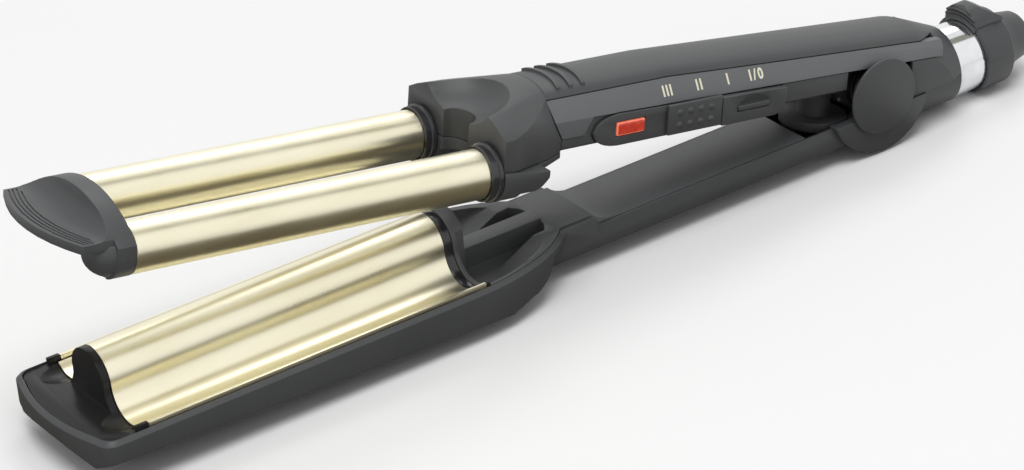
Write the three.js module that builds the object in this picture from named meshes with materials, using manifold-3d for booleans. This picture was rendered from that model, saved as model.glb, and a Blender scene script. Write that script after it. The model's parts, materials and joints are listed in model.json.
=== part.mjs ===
// Hair waver: two heated barrels on an upper arm close onto a wave-shaped heated plate on a lower arm.
// Millimetres, +Z up, +X towards the rear. The hinge axis is the origin while the pieces are made.
import * as THREE from 'three';
import { mergeVertices } from 'three/addons/utils/BufferGeometryUtils.js';
import { ConvexGeometry } from 'three/addons/geometries/ConvexGeometry.js';
import Module from 'manifold-3d';

const wasm = await Module();
wasm.setup();

// Barrels and wave plate: what clamps the hair
const openAngle = THREE.MathUtils.degToRad(9.6);
const barrelDiameter = 15;
const barrelWall = 1;
const barrelPitch = 34.5;
const barrelHeight = 3;
const barrelLength = 117.6;
const barrelInHead = 4;
const hairGap = 0.8;
const plateThickness = 1.2;
const plateReach = 1.1;
const plateSetback = 5.7;
const lipHeight = -3;
const railWidth = 1.15;
const railTop = -2;
const railDepth = 2;
const sealWidth = 2.7;
const bandWidth = 1.5;
const ridgeOverlap = 2;

// Lower arm casing and its covers
const trayHalfWidth = 27.3;
const noseReach = 18.2;
const trayRim = -3.2;
const rimBevel = 1.2;
const casingWall = 1.4;
const neckHalfWidth = 13.6;
const neckInner = 11.8;
const neckBottom = -15.8;
const neckStart = -148;
const neckWallTop = -6.5;
const chamferFoot = -10.1;
const padHeight = -6.3;
const padRear = -28;
const coverThickness = 2;
const humpHeight = -2.6;
const humpFront = -122;
const humpRear = -109.5;
const recessFloor = -9.5;
const barHalfWidth = 3.3;
const barTop = -2.4;
const noseTop = -3.6;
const noseDepth = 4.2;
const noseBandLength = 2.2;

// Hinge
const earRadius = 19.1;
const earProud = 0.6;
const earThickness = 3.3;
const drumWall = 1.9;
const hubRadius = 9.2;
const splitHeight = -5.6;
const discRadius = 12.5;
const discThickness = 1;
const axleDiameter = 6;
const knuckleRadius = 8;
const springBay = 8.3;
const springWire = 1.3;
const springRadius = 5.7;
const springTurns = 3;
const springPitch = 1.9;

// Rear stub: it runs level with the lower arm, its axis below the hinge axis
const stubDrop = 7.15;
const stubWall = 1.8;
const stubFront = 21;
const sleeveRadius = 11.7;
const sleeveWall = 0.8;
const sleeveFront = 35.8;
const sleeveShown = 10.4;
const collarLength = 10.8;
const collarWall = 0.9;
const collarBandLength = 6.6;
const capFlangeRadius = 11.5;
const capFlangeLength = 0.8;
const capWaist = 10.3;
const capEndRadius = 7;
const capLength = 11.9;
const inletRadius = 5.4;
const inletBore = 3.1;

// Upper arm handle
const handleHalfWidth = 15;
const handleKnee = -82;
const handleTaper = THREE.MathUtils.degToRad(2.84);
const panelLean = 4.4;
const shellLine = 18.7;
const crownHeight = 3;
const handleBottom = 1.4;
const bottomInset = 0.4;
const panelBottom = 9.6;
const panelTaper = THREE.MathUtils.degToRad(1.4);
const panelRear = 24.4;
const panelRearLean = 1.8;
const panelThickness = 1.7;
const shellWall = 2;
const ribHeight = 0.9;
const ribWidth = 1.4;
const ribMiddle = -120;
const ribPitch = 4.5;
const ribBow = 34;
const ribReach = 9;

// Yoke head that carries the barrels
const headFront = -151;
const collarWidth = 3.7;
const headHalfWidth = 25.2;
const headTop = 22;
const headArch = 49;
const headParting = 3.5;
const headPartingFront = 5.6;
const lobeRadius = 9;
const collarRimRadius = 8.95;
const collarStepRadius = 8.35;

// Tip cap at the front of the barrels
const capArchTop = 16.7;
const capArch = 36;
const capDepth = 5.9;
const lipTop = 8.5;
const lipThickness = 2.6;
const lipHalfWidth = 22.5;
const lipReach = 20.4;
const lipBow = 5;
const bossRadius = 7.6;
const bossLength = 12.3;
const grooveWidth = 0.5;
const grooveDepth = 0.4;
const groovePitch = 1.25;
const grooveCount = 4;

// Controls on the near side
const bezelFront = -112;
const bezelRear = -40;
const bezelTop = 11.9;
const bezelBottom = 1.8;
const bezelProud = 0.6;
const bezelDepth = 2.2;
const raisedProud = 2.1;
const sliderFront = -85.3;
const sliderLength = 20.3;
const sliderHeight = 9.6;
const sliderTravel = 5;
const dotRadius = 0.75;
const dotHeight = 0.35;
const lensFront = -103.5;
const lensLength = 10.2;
const lensHeight = 4.1;
const controlHeight = 7;
const buttonCentre = -52.8;
const buttonRadius = 6;
const buttonTravel = 1;

// Bumper in front of the hinge
const bumperCentre = -14.2;
const bumperRadius = 10.6;
const bumperThickness = 3.2;
const bumperNeck = 5.2;
const bumperBottom = -11.6;

// Clearances: seat between fixed pieces, slip round moving ones
const seat = 0.3;
const slip = 0.2;

// Smoothness of round shapes
const fine = 40;
const coarse = 16;
const arcSteps = 6;

// Sizes that follow from the ones above
const barrelRadius = barrelDiameter / 2;
const barrelRear = headFront - seat - collarWidth;
const barrelFront = barrelRear - barrelLength;
const trayFront = barrelFront - noseReach;
const lipFront = barrelFront - lipReach;
const plateFront = barrelFront - plateReach;
const barrelOffset = barrelPitch / 2;
const channelRadius = barrelRadius + hairGap;
const plateRear = barrelRear - plateSetback;
const sealFront = plateRear + seat;
const bandFront = sealFront + sealWidth + seat;
const bandRear = bandFront + bandWidth;
const axleRadius = axleDiameter / 2;
const stubRadius = sleeveRadius - sleeveWall - seat;
const halfBarrelRadius = sleeveRadius + slip * 2;
const earFace = handleHalfWidth + earProud;
const shellHalfWidth = handleHalfWidth - panelLean;
const collarFront = sleeveFront + sleeveShown;
const collarRear = collarFront + collarLength;
const capFront = collarRear + seat;
const restHeight = -stubDrop - sleeveRadius - slip - collarWall;
const sides = [{ label: 'near', sign: -1 }, { label: 'far', sign: 1 }];
const beyond = 400;

// Finishes
const finishes = {
  gold: { color: 0xcfc7a2, roughness: 0.34, metalness: 0.9 },
  casing: { color: 0x3d4042, roughness: 0.55, metalness: 0 },
  panel: { color: 0x4b5052, roughness: 0.5, metalness: 0 },
  gloss: { color: 0x1c1d1f, roughness: 0.15, metalness: 0 },
  chrome: { color: 0xdcdcdc, roughness: 0.08, metalness: 1 },
  steel: { color: 0xa9a9a6, roughness: 0.35, metalness: 1 },
  lens: { color: 0xd8391c, roughness: 0.2, metalness: 0 },
  rubber: { color: 0x1b1b1b, roughness: 0.8, metalness: 0 },
  ceramic: { color: 0xe6e0d2, roughness: 0.7, metalness: 0 },
  board: { color: 0x2f6b3c, roughness: 0.6, metalness: 0 },
};

const waver = new THREE.Group();
const lowerArm = new THREE.Group();
const upperArm = new THREE.Group();
upperArm.rotation.y = openAngle;
waver.add(lowerArm, upperArm);

// A closed geometry as a solid that can be joined and cut
function solid(geometry) {
  const bare = geometry.clone();
  bare.deleteAttribute('normal');
  bare.deleteAttribute('uv');
  const merged = mergeVertices(bare, 1e-4);
  const index = merged.index.array;
  const corners = [];
  for (let i = 0; i < index.length; i += 3) {
    const [a, b, c] = [index[i], index[i + 1], index[i + 2]];
    if (a !== b && b !== c && c !== a) corners.push(a, b, c);
  }
  return new wasm.Manifold(new wasm.Mesh({
    numProp: 3,
    vertProperties: new Float32Array(merged.attributes.position.array),
    triVerts: new Uint32Array(corners),
  }));
}

// A piece of the object: a solid turned into a named mesh with a material of its own
function piece(arm, name, body, finish, place = [0, 0, 0]) {
  const cut = body.getMesh();
  const geometry = new THREE.BufferGeometry();
  geometry.setAttribute('position', new THREE.BufferAttribute(new Float32Array(cut.vertProperties), 3));
  geometry.setIndex(new THREE.BufferAttribute(new Uint32Array(cut.triVerts), 1));
  geometry.computeVertexNormals();
  const mesh = new THREE.Mesh(geometry, new THREE.MeshStandardMaterial(finishes[finish]));
  mesh.name = name;
  mesh.position.set(...place);
  arm.add(mesh);
  return mesh;
}

function joined(...bodies) {
  return bodies.reduce((all, body) => all.add(body));
}

function without(body, ...cutters) {
  return cutters.reduce((rest, cutter) => rest.subtract(cutter), body);
}

function common(...bodies) {
  return bodies.reduce((shared, body) => shared.intersect(body));
}

// A flat outline through points given as pairs
function outline(...points) {
  return new THREE.Shape(points.map(([a, b]) => new THREE.Vector2(a, b)));
}

function extruded(shape, length, steps) {
  return new THREE.ExtrudeGeometry(shape, { depth: length, bevelEnabled: false, curveSegments: steps });
}

// An outline in X and Y, raised from one height to another
function prismZ(shape, low, high, steps = arcSteps) {
  return solid(extruded(shape, high - low, steps).translate(0, 0, low));
}

// An outline in X and Z, run across the object
function prismY(shape, from, to, steps = arcSteps) {
  return solid(extruded(shape, to - from, steps).rotateX(Math.PI / 2).translate(0, to, 0));
}

// An outline in Y and Z, run along the object, then turned about the cross axis and raised if wanted
function prismX(shape, from, to, steps = arcSteps, pitch = 0, raise = 0) {
  const geometry = extruded(shape, to - from, steps).translate(0, 0, from);
  geometry.applyMatrix4(new THREE.Matrix4().makeBasis(
    new THREE.Vector3(0, 1, 0), new THREE.Vector3(0, 0, 1), new THREE.Vector3(1, 0, 0)));
  return solid(geometry.rotateY(pitch).translate(0, 0, raise));
}

function box(x0, x1, y0, y1, z0, z1) {
  const geometry = new THREE.BoxGeometry(x1 - x0, y1 - y0, z1 - z0);
  return solid(geometry.translate((x0 + x1) / 2, (y0 + y1) / 2, (z0 + z1) / 2));
}

function rodX(radius, from, to, y = 0, z = 0, steps = fine) {
  const geometry = new THREE.CylinderGeometry(radius, radius, to - from, steps);
  return solid(geometry.rotateZ(-Math.PI / 2).translate((from + to) / 2, y, z));
}

function rodY(radius, from, to, x = 0, z = 0, steps = fine) {
  const geometry = new THREE.CylinderGeometry(radius, radius, to - from, steps);
  return solid(geometry.translate(x, (from + to) / 2, z));
}

function rodZ(radius, from, to, x = 0, y = 0, steps = coarse) {
  const geometry = new THREE.CylinderGeometry(radius, radius, to - from, steps);
  return solid(geometry.rotateX(Math.PI / 2).translate(x, y, (from + to) / 2));
}

function egg(centre, reach, steps = 24) {
  const geometry = new THREE.SphereGeometry(1, steps, steps / 2);
  return solid(geometry.scale(...reach).translate(...centre));
}

// A turned shape about an axis along X: points are [x, radius] pairs from the front end to the rear end
function turnedX(points, z = 0, pitch = 0, steps = fine) {
  const profile = points.map(([x, radius]) => new THREE.Vector2(radius, x));
  const geometry = new THREE.LatheGeometry(profile, steps);
  return solid(geometry.rotateZ(-Math.PI / 2).translate(0, 0, z).rotateY(pitch));
}

// The same body on the near and the far side
function mirrored(make) {
  return joined(...sides.map(({ sign }) => make(sign)));
}

// A box on one side of the object, from the inner to the outer distance off the middle
function sideBox(sign, x0, x1, inner, outer, z0, z1) {
  return box(x0, x1, Math.min(sign * inner, sign * outer), Math.max(sign * inner, sign * outer), z0, z1);
}

// The wave: outer lip, channel, ridge, channel, outer lip, as a line in Y and Z, lowered by drop
function waveLine(drop) {
  const radius = channelRadius + drop;
  const lip = Math.asin((lipHeight - barrelHeight) / radius);
  const line = new THREE.Path();
  line.absarc(-barrelOffset, barrelHeight, radius, Math.PI - lip, 2 * Math.PI, false);
  line.absarc(0, barrelHeight, barrelOffset - radius, Math.PI, 0, true);
  line.absarc(barrelOffset, barrelHeight, radius, Math.PI, 2 * Math.PI + lip, false);
  return line.getPoints(fine / 5);
}

function waveBlock(drop, floor) {
  const line = waveLine(drop);
  const first = line[0];
  const last = line[line.length - 1];
  return new THREE.Shape([...line, new THREE.Vector2(last.x, floor), new THREE.Vector2(first.x, floor)]);
}

// Plan of the tray: bowed nose, straight sides and a rear that draws in to the neck
const drawCentre = -162;
const drawLength = 47.3;
const noseBow = 3.8;
const noseCorner = 5;
function trayPlan(inset) {
  const half = trayHalfWidth - inset;
  const front = trayFront + inset;
  const corner = front + noseBow;
  const bowEnd = corner - noseBow / 8;
  const plan = new THREE.Shape();
  plan.moveTo(drawCentre, -half);
  plan.ellipse(0, half, drawLength - inset, half, -Math.PI / 2, Math.PI / 2, false);
  plan.lineTo(corner + noseCorner, half);
  plan.quadraticCurveTo(corner, half, bowEnd, half - noseCorner);
  plan.quadraticCurveTo(front - noseBow, 0, bowEnd, noseCorner - half);
  plan.quadraticCurveTo(corner, -half, corner + noseCorner, -half);
  return plan;
}

// Plan of the recess behind the plate, which the collars and the head's lobes drop into
const recessCentre = -160;
const recessLength = 37.8;
const recessHalfWidth = 24.8;
function recessPlan(inset) {
  const plan = new THREE.Shape();
  plan.absellipse(recessCentre, 0, recessLength - inset, recessHalfWidth - inset, 0, 2 * Math.PI, false);
  return plan;
}

// Lower casing: tray, neck, drum round the hinge and half barrel under the stub, one moulding
const wallFoot = -13.85;
const wallFootAt = -178;
const bellySlope = 0.45;
const bellyTwist = THREE.MathUtils.degToRad(2.14);
const bellyRoom = 5;
const floorThickness = 1.8;
const noseEdge = -7;
const noseFoot = -16.5;
const noseLean = 0.7;
const keelStart = 26.3;
const keelFront = trayFront + keelStart;
const keelRear = -210;
const footHeight = -13.6;
const footFront = -152;
const footRear = -141.6;
const ledgeCorner = -133;
const ledgeFront = -129.5;
const ledgeHeight = -6.2;
const neckJoin = -108;

function belly(raise) {
  const wide = trayHalfWidth + bellyRoom;
  const foot = wallFoot - wallFootAt * -Math.sin(bellyTwist) + bellySlope * bellyRoom;
  const section = outline([-wide, 0], [-wide, foot], [0, foot - bellySlope * wide], [wide, foot], [wide, 0]);
  return prismX(section, trayFront * 1.1, humpRear / 2, 1, bellyTwist, raise);
}

function traySide(lift, top) {
  const start = trayFront - seat;
  const side = new THREE.Shape();
  side.moveTo(start, top);
  side.lineTo(start, noseEdge + lift);
  side.quadraticCurveTo(start + noseLean, noseFoot + lift, keelFront, restHeight + lift);
  side.lineTo(keelRear, restHeight + lift);
  side.lineTo(footFront, neckBottom + lift);
  side.lineTo(footRear, footHeight + lift);
  side.quadraticCurveTo(ledgeCorner, footHeight + lift, ledgeFront, ledgeHeight + lift);
  side.lineTo(neckJoin, ledgeHeight + lift);
  side.lineTo(neckJoin, top);
  return prismY(side, -trayHalfWidth - seat, trayHalfWidth + seat);
}

function trayBody() {
  const depth = trayRim - restHeight;
  const walls = new THREE.ExtrudeGeometry(trayPlan(0), {
    depth: depth - rimBevel, bevelThickness: rimBevel, bevelSize: rimBevel, bevelOffset: -rimBevel,
    bevelSegments: 1, curveSegments: arcSteps * 2,
  });
  return common(solid(walls.translate(0, 0, restHeight)), belly(0), traySide(0, 0));
}

function trayHollow() {
  const room = prismZ(trayPlan(casingWall), restHeight, -trayRim, arcSteps * 2);
  const above = box(trayFront, neckJoin, -beyond, beyond, -2 * floorThickness, -trayRim);
  return common(room, joined(belly(floorThickness), above), traySide(floorThickness, -trayRim));
}

function neckSection(half, bottom, top) {
  const corner = half * 0.7;
  const rise = half - corner;
  return outline([-half, top], [-half, bottom + rise * 0.6], [-corner, bottom], [corner, bottom],
    [half, bottom + rise * 0.6], [half, top]);
}

function neckChamfer(sign) {
  const lean = 1;
  const edge = outline([sign * neckHalfWidth * 1.1, chamferFoot], [sign * neckHalfWidth, chamferFoot],
    [sign * (neckHalfWidth - lean), neckWallTop], [sign * (neckHalfWidth - lean), 0],
    [sign * neckHalfWidth * 1.1, 0]);
  return prismX(edge, humpRear + lean, 0);
}

const screwNearHump = -88;
const screwNearHinge = -40;
const neckScrews = [{ label: 'front', x: screwNearHump }, { label: 'rear', x: screwNearHinge }];
const screwRadius = 1.2;
const screwHead = 2.5;
const screwHeadDepth = 1.8;
const screwTop = padHeight - 0.9;

function screwWell(x) {
  const hole = rodZ(screwRadius + slip, neckBottom - seat, padHeight - 0.6, x);
  return hole.add(rodZ(screwHead + seat, neckBottom - seat, neckBottom + screwHeadDepth + seat, x));
}

const neckSide = outline([neckStart, restHeight], [neckStart, trayRim], [humpRear - 0.5, trayRim],
  [humpRear + 2, neckWallTop], [0, neckWallTop], [0, restHeight]);
const underSplit = box(-beyond, beyond, -beyond, beyond, -beyond, splitHeight);
const earInner = earFace - earThickness;
const knuckleHalfWidth = earInner - springBay;
const stubBay = stubRadius + seat;

const neck = common(
  without(prismX(neckSection(neckHalfWidth, neckBottom, trayRim), neckStart, -earRadius / 2),
    neckChamfer(-1), neckChamfer(1)),
  prismY(neckSide, -neckHalfWidth, neckHalfWidth),
);
const drum = common(rodY(earRadius, -earFace, earFace), underSplit);
const halfBarrel = common(rodX(halfBarrelRadius, hubRadius, sleeveFront - 2 * slip, 0, -stubDrop),
  underSplit);
const railOuter = trayHalfWidth - casingWall - seat;
const railInner = railOuter - railWidth;
const railLedge = mirrored((sign) => sideBox(sign, plateFront, bandFront, railInner - seat,
  trayHalfWidth - casingWall / 2, railTop - railDepth - 2, railTop - railDepth - seat));
const screwBosses = joined(...neckScrews.map(({ x }) =>
  rodZ(screwHead + 1.5, neckBottom + seat, padHeight - coverThickness - seat, x)));
const casingHollow = joined(
  trayHollow(),
  prismX(neckSection(neckInner, neckBottom + floorThickness, 0), neckStart - 5, -hubRadius),
  common(rodY(earRadius - drumWall, -earInner, earInner), box(-earRadius, earRadius, -beyond, beyond,
    -beyond, 0)),
  rodX(stubBay - 1, 0, stubFront, 0, -stubDrop),
  rodX(stubBay, stubFront - 2 * seat, beyond, 0, -stubDrop),
);
const hubs = mirrored((sign) => rodY(hubRadius, Math.min(sign * earInner, sign * earFace),
  Math.max(sign * earInner, sign * earFace)));
const axleBore = rodY(axleRadius + slip, -earFace - seat, earFace + seat, 0, 0, coarse);
const lowerCasing = without(
  joined(without(joined(trayBody(), neck, drum, halfBarrel), casingHollow), hubs, railLedge, screwBosses),
  axleBore,
  ...neckScrews.map(({ x }) => screwWell(x)),
);
piece(lowerArm, 'lower_casing', lowerCasing, 'casing');

// Neck cover: a wave-shaped front wall, the recess with its middle bar, the hump and the thumb pad
const coverBottom = recessFloor - coverThickness;
const coverEdge = trayRim + 0.1;
const coverPlanInset = casingWall + seat;
const padCurve = 6;
const coverRise = -130;
const coverSide = new THREE.Shape();
coverSide.moveTo(neckStart, coverBottom);
coverSide.lineTo(neckStart, coverEdge);
coverSide.lineTo(coverRise, coverEdge);
coverSide.lineTo(humpFront, humpHeight);
coverSide.lineTo(humpRear, humpHeight);
coverSide.quadraticCurveTo(humpRear + padCurve / 2, padHeight, humpRear + 2 * padCurve, padHeight);
coverSide.lineTo(padRear, padHeight);
coverSide.lineTo(padRear, padHeight - coverThickness);
coverSide.lineTo(humpRear + padCurve, padHeight - coverThickness);
coverSide.lineTo(humpRear, coverBottom);
const coverTub = common(
  prismZ(trayPlan(coverPlanInset), coverBottom, coverEdge, arcSteps * 2),
  box(bandRear, humpFront + 6, -beyond, beyond, -beyond, beyond),
  traySide(floorThickness + seat, -trayRim),
);
const ridgeRear = barrelRear + ridgeOverlap;
const ridgeHalfWidth = barrelOffset - collarRimRadius - 2 * seat;
const coverBody = joined(
  coverTub,
  prismY(coverSide, -neckInner + seat, neckInner - seat),
  prismX(waveBlock(slip, coverBottom), bandFront, bandRear + slip),
);
const ridgeEnd = common(
  prismX(waveBlock(slip, coverBottom), bandFront, ridgeRear),
  box(bandFront, ridgeRear, -ridgeHalfWidth, ridgeHalfWidth, coverBottom, beyond),
);
const deepHalfWidth = neckInner - seat - coverThickness;
const shelfFront = -143;
const shelfRear = -129.7;
const recessSide = outline([bandRear, -recessFloor], [bandRear, recessFloor], [shelfFront, recessFloor],
  [shelfRear, coverEdge], [shelfRear, -recessFloor]);
const recess = common(
  prismZ(recessPlan(0), recessFloor, -recessFloor, arcSteps * 2),
  joined(prismY(recessSide, -trayHalfWidth, trayHalfWidth), box(bandRear, 0, -deepHalfWidth, deepHalfWidth,
    recessFloor, -recessFloor)),
);
const bar = joined(box(bandRear, humpFront, -barHalfWidth, barHalfWidth, coverBottom, barTop), ridgeEnd);
const screwPilots = neckScrews.map(({ x }) =>
  rodZ(screwRadius + slip, padHeight - coverThickness - seat, padHeight - 0.6, x));
piece(lowerArm, 'neck_cover', without(joined(without(coverBody, recess), bar), ...screwPilots), 'casing');

neckScrews.forEach(({ label, x }) => {
  const screw = joined(
    rodZ(screwHead, 0, screwHeadDepth),
    rodZ(screwRadius, screwHeadDepth / 2, screwTop - neckBottom, 0, 0, 10),
  );
  piece(lowerArm, `neck_screw_${label}`, screw, 'steel', [x, 0, neckBottom]);
});

// Nose cap: glossy insert with a bowl in front of each channel and the ridge's upright end face
const noseRear = plateFront - seat;
const noseBlock = common(
  prismZ(trayPlan(coverPlanInset), noseTop - noseDepth, noseTop, arcSteps * 2),
  box(-beyond, noseRear, -beyond, beyond, -beyond, beyond),
);
const noseBand = prismX(waveBlock(0, noseTop - noseDepth), noseRear - noseBandLength, noseRear);
const bowlLength = 13.4;
const bowlRadius = bossRadius + 1.1;
const bowls = mirrored((sign) => egg([plateFront, sign * barrelOffset, barrelHeight],
  [bowlLength, bowlRadius, bowlRadius], fine));
const railEnds = mirrored((sign) => sideBox(sign, noseRear - noseBandLength, noseRear + 1.7, railInner,
  railOuter,
  railTop - railDepth, railTop + 0.3));
piece(lowerArm, 'nose_cap', joined(without(joined(noseBlock, noseBand), bowls), railEnds), 'gloss');

// Wave plate with its seal, rails and rail plugs
const plateSection = new THREE.Shape([...waveLine(0), ...waveLine(plateThickness).reverse()]);
const betweenRails = box(-beyond, 0, seat - railInner, railInner - seat, -beyond, beyond);
piece(lowerArm, 'wave_plate', common(prismX(plateSection, plateFront, plateRear), betweenRails), 'gold');
const plateUnder = barrelHeight - channelRadius - plateThickness;
piece(lowerArm, 'plate_seal', prismX(waveBlock(0.2, plateUnder - seat), sealFront, sealFront + sealWidth),
  'gloss');
sides.forEach(({ label, sign }) => {
  const rail = sideBox(sign, plateFront + 1.7, bandFront - seat, railInner, railOuter, railTop - railDepth,
    railTop);
  piece(lowerArm, `side_rail_${label}`, rail, 'gold');
  const plug = sideBox(sign, bandFront, bandRear - seat, railInner, railOuter - slip, railTop - railDepth,
    railTop - slip);
  piece(lowerArm, `rail_plug_${label}`, plug, 'gloss');
});

// Heater under the ridge: aluminium spreader, ceramic bar, leaf clip and carrier
const heaterEnd = 3;
const spreaderRadius = barrelOffset - channelRadius - plateThickness - seat;
const spreaderFoot = -2;
const ceramicHalfWidth = 5;
const ceramicThickness = 2.1;
const carrierHalfWidth = 19;
const carrierTop = plateUnder - seat;
const carrierDepth = 3.6;
const clipHeight = 1.9;
const clipThickness = 0.5;
const heaterFrom = plateFront + heaterEnd;
const heaterTo = plateRear - heaterEnd;
const spreader = joined(
  common(rodX(spreaderRadius, heaterFrom, heaterTo, 0, barrelHeight),
    box(heaterFrom, heaterTo, -beyond, beyond, barrelHeight, beyond)),
  box(heaterFrom, heaterTo, -spreaderRadius, spreaderRadius, spreaderFoot, barrelHeight + seat),
);
piece(lowerArm, 'heat_spreader', spreader, 'steel');
const ceramicTop = spreaderFoot - seat;
const ceramicFoot = ceramicTop - ceramicThickness;
piece(lowerArm, 'plate_heater', box(heaterFrom + heaterEnd, heaterTo - heaterEnd, -ceramicHalfWidth,
  ceramicHalfWidth, ceramicFoot, ceramicTop), 'ceramic');
const clipTop = ceramicFoot - seat;
const clipLine = new THREE.Shape();
const clipReach = (heaterTo - heaterFrom) / 4;
const clipMiddle = (heaterTo + heaterFrom) / 2;
clipLine.moveTo(clipMiddle - clipReach, clipTop - clipHeight);
clipLine.quadraticCurveTo(clipMiddle, clipTop + clipHeight, clipMiddle + clipReach, clipTop - clipHeight);
clipLine.lineTo(clipMiddle + clipReach, clipTop - clipHeight - clipThickness);
clipLine.quadraticCurveTo(clipMiddle, clipTop + clipHeight - clipThickness, clipMiddle - clipReach,
  clipTop - clipHeight - clipThickness);
piece(lowerArm, 'heater_clip', prismY(clipLine, -ceramicHalfWidth + 1, ceramicHalfWidth - 1), 'steel');
const carrierTrough = box(-beyond, 0, -ceramicHalfWidth - 1, ceramicHalfWidth + 1,
  clipTop - clipHeight - clipThickness - seat, 0);
piece(lowerArm, 'heater_carrier', without(box(heaterFrom, heaterTo, -carrierHalfWidth, carrierHalfWidth,
  carrierTop - carrierDepth, carrierTop), carrierTrough), 'ceramic');

// Hinge: axle, disc covers and the torsion spring that opens the arms
const axleHalfLength = earFace - 1.8;
piece(lowerArm, 'hinge_axle', rodY(axleRadius, -axleHalfLength, axleHalfLength, 0, 0, coarse), 'steel');
sides.forEach(({ label, sign }) => {
  const back = earFace + seat;
  const disc = sign > 0
    ? joined(rodY(discRadius, back, back + discThickness), rodY(axleRadius - slip / 2,
      axleHalfLength + seat, back + slip, 0, 0, coarse))
    : joined(rodY(discRadius, -back - discThickness, -back),
      rodY(axleRadius - slip / 2, -back - slip, -axleHalfLength - seat, 0, 0, coarse));
  piece(lowerArm, `hinge_disc_${label}`, disc, 'casing');
});

// Centre line of the torsion spring: lower leg, coils about the axle, upper leg
class SpringLine extends THREE.Curve {
  constructor() {
    super();
    this.sweep = springTurns * 2 * Math.PI + springLegSpread;
    this.coil = springRadius * this.sweep;
    this.total = this.coil + 2 * springLeg;
  }

  onCoil(angle) {
    const turned = springStartAngle + angle;
    const y = springFrom + (springPitch * angle) / (2 * Math.PI);
    return new THREE.Vector3(springRadius * Math.cos(turned), y, springRadius * Math.sin(turned));
  }

  along(angle) {
    const turned = springStartAngle + angle;
    return new THREE.Vector3(-Math.sin(turned), 0, Math.cos(turned));
  }

  getPoint(t, target = new THREE.Vector3()) {
    const run = t * this.total - springLeg;
    if (run < 0) return target.copy(this.onCoil(0)).addScaledVector(this.along(0), run);
    if (run < this.coil) return target.copy(this.onCoil(run / springRadius));
    return target.copy(this.onCoil(this.sweep)).addScaledVector(this.along(this.sweep), run - this.coil);
  }
}
const springLeg = 12.4;
const springLegSpread = THREE.MathUtils.degToRad(-28);
const springStartAngle = THREE.MathUtils.degToRad(238);
const springFrom = -earInner + springWire;
const springLine = new SpringLine();
const springStep = springRadius * (2 * Math.PI / 8);
const wireSection = new THREE.Shape();
for (let i = 0; i < 5; i += 1) {
  const turn = (2 * Math.PI * i) / 5;
  const corner = new THREE.Vector2(Math.cos(turn), Math.sin(turn)).multiplyScalar(springWire / 2);
  if (i === 0) wireSection.moveTo(corner.x, corner.y);
  else wireSection.lineTo(corner.x, corner.y);
}
const spring = solid(new THREE.ExtrudeGeometry(wireSection, {
  steps: Math.round(springLine.total / springStep), bevelEnabled: false, extrudePath: springLine,
}));
piece(lowerArm, 'torsion_spring', spring, 'steel');
console.log(`torsion spring: least gap between turns ${(springPitch - springWire).toFixed(2)} mm`);

// Rear stub, chrome sleeve, end cap and the swivel for the cord
const stubRear = capFront;
const stubBore = stubRadius - stubWall;
piece(lowerArm, 'rear_stub', without(rodX(stubRadius, stubFront, stubRear - seat, 0, -stubDrop),
  rodX(stubBore, 0, beyond, 0, -stubDrop)), 'casing');
piece(lowerArm, 'chrome_sleeve', without(rodX(sleeveRadius, sleeveFront, capFront - seat, 0, -stubDrop),
  rodX(sleeveRadius - sleeveWall, 0, beyond, 0, -stubDrop)), 'chrome');
const capRear = capFront + capLength;
const inletHole = inletRadius + slip;
const shoulder = inletRadius + 1.6;
const capSpigot = 2.5;
const capRound = 1.6;
const capTaper = (capWaist - capEndRadius) / 2;
const capCollar = without(
  rodX(stubBore - seat, capFront - capSpigot, capFront + slip, 0, -stubDrop, coarse * 2),
  rodX(shoulder + seat, 0, capFront, 0, -stubDrop, coarse * 2),
);
const endCap = without(
  joined(
    turnedX([
      [capFront, 0],
      [capFront, capFlangeRadius],
      [capFront + capFlangeLength, capFlangeRadius],
      [capFront + 2 * capFlangeLength, capWaist],
      [capRear - capLength / 2, capWaist - capTaper],
      [capRear - capRound, capEndRadius + capRound / 2],
      [capRear - capRound / 4, capEndRadius],
      [capRear, capEndRadius - capRound / 2],
      [capRear, 0],
    ], -stubDrop),
    capCollar,
  ),
  rodX(inletHole, 0, beyond, 0, -stubDrop, coarse * 2),
);
piece(lowerArm, 'end_cap', endCap, 'casing');
const inletFront = stubRear - 4;
const inletProud = 0.9;
const cordInlet = without(
  joined(
    rodX(inletRadius, inletFront, capRear + inletProud, 0, 0, coarse * 2),
    rodX(shoulder, inletFront, stubRear - seat, 0, 0, coarse * 2),
  ),
  rodX(inletBore, 0, beyond, 0, 0, coarse),
);
piece(lowerArm, 'cord_inlet', cordInlet, 'rubber', [0, 0, -stubDrop]);
const swivelRear = inletFront - seat;
piece(lowerArm, 'swivel_housing', without(
  rodX(stubBore - seat, swivelRear - 9, swivelRear, 0, -stubDrop, coarse * 2),
  rodX(inletBore, 0, beyond, 0, -stubDrop, coarse),
), 'gloss');

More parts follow.
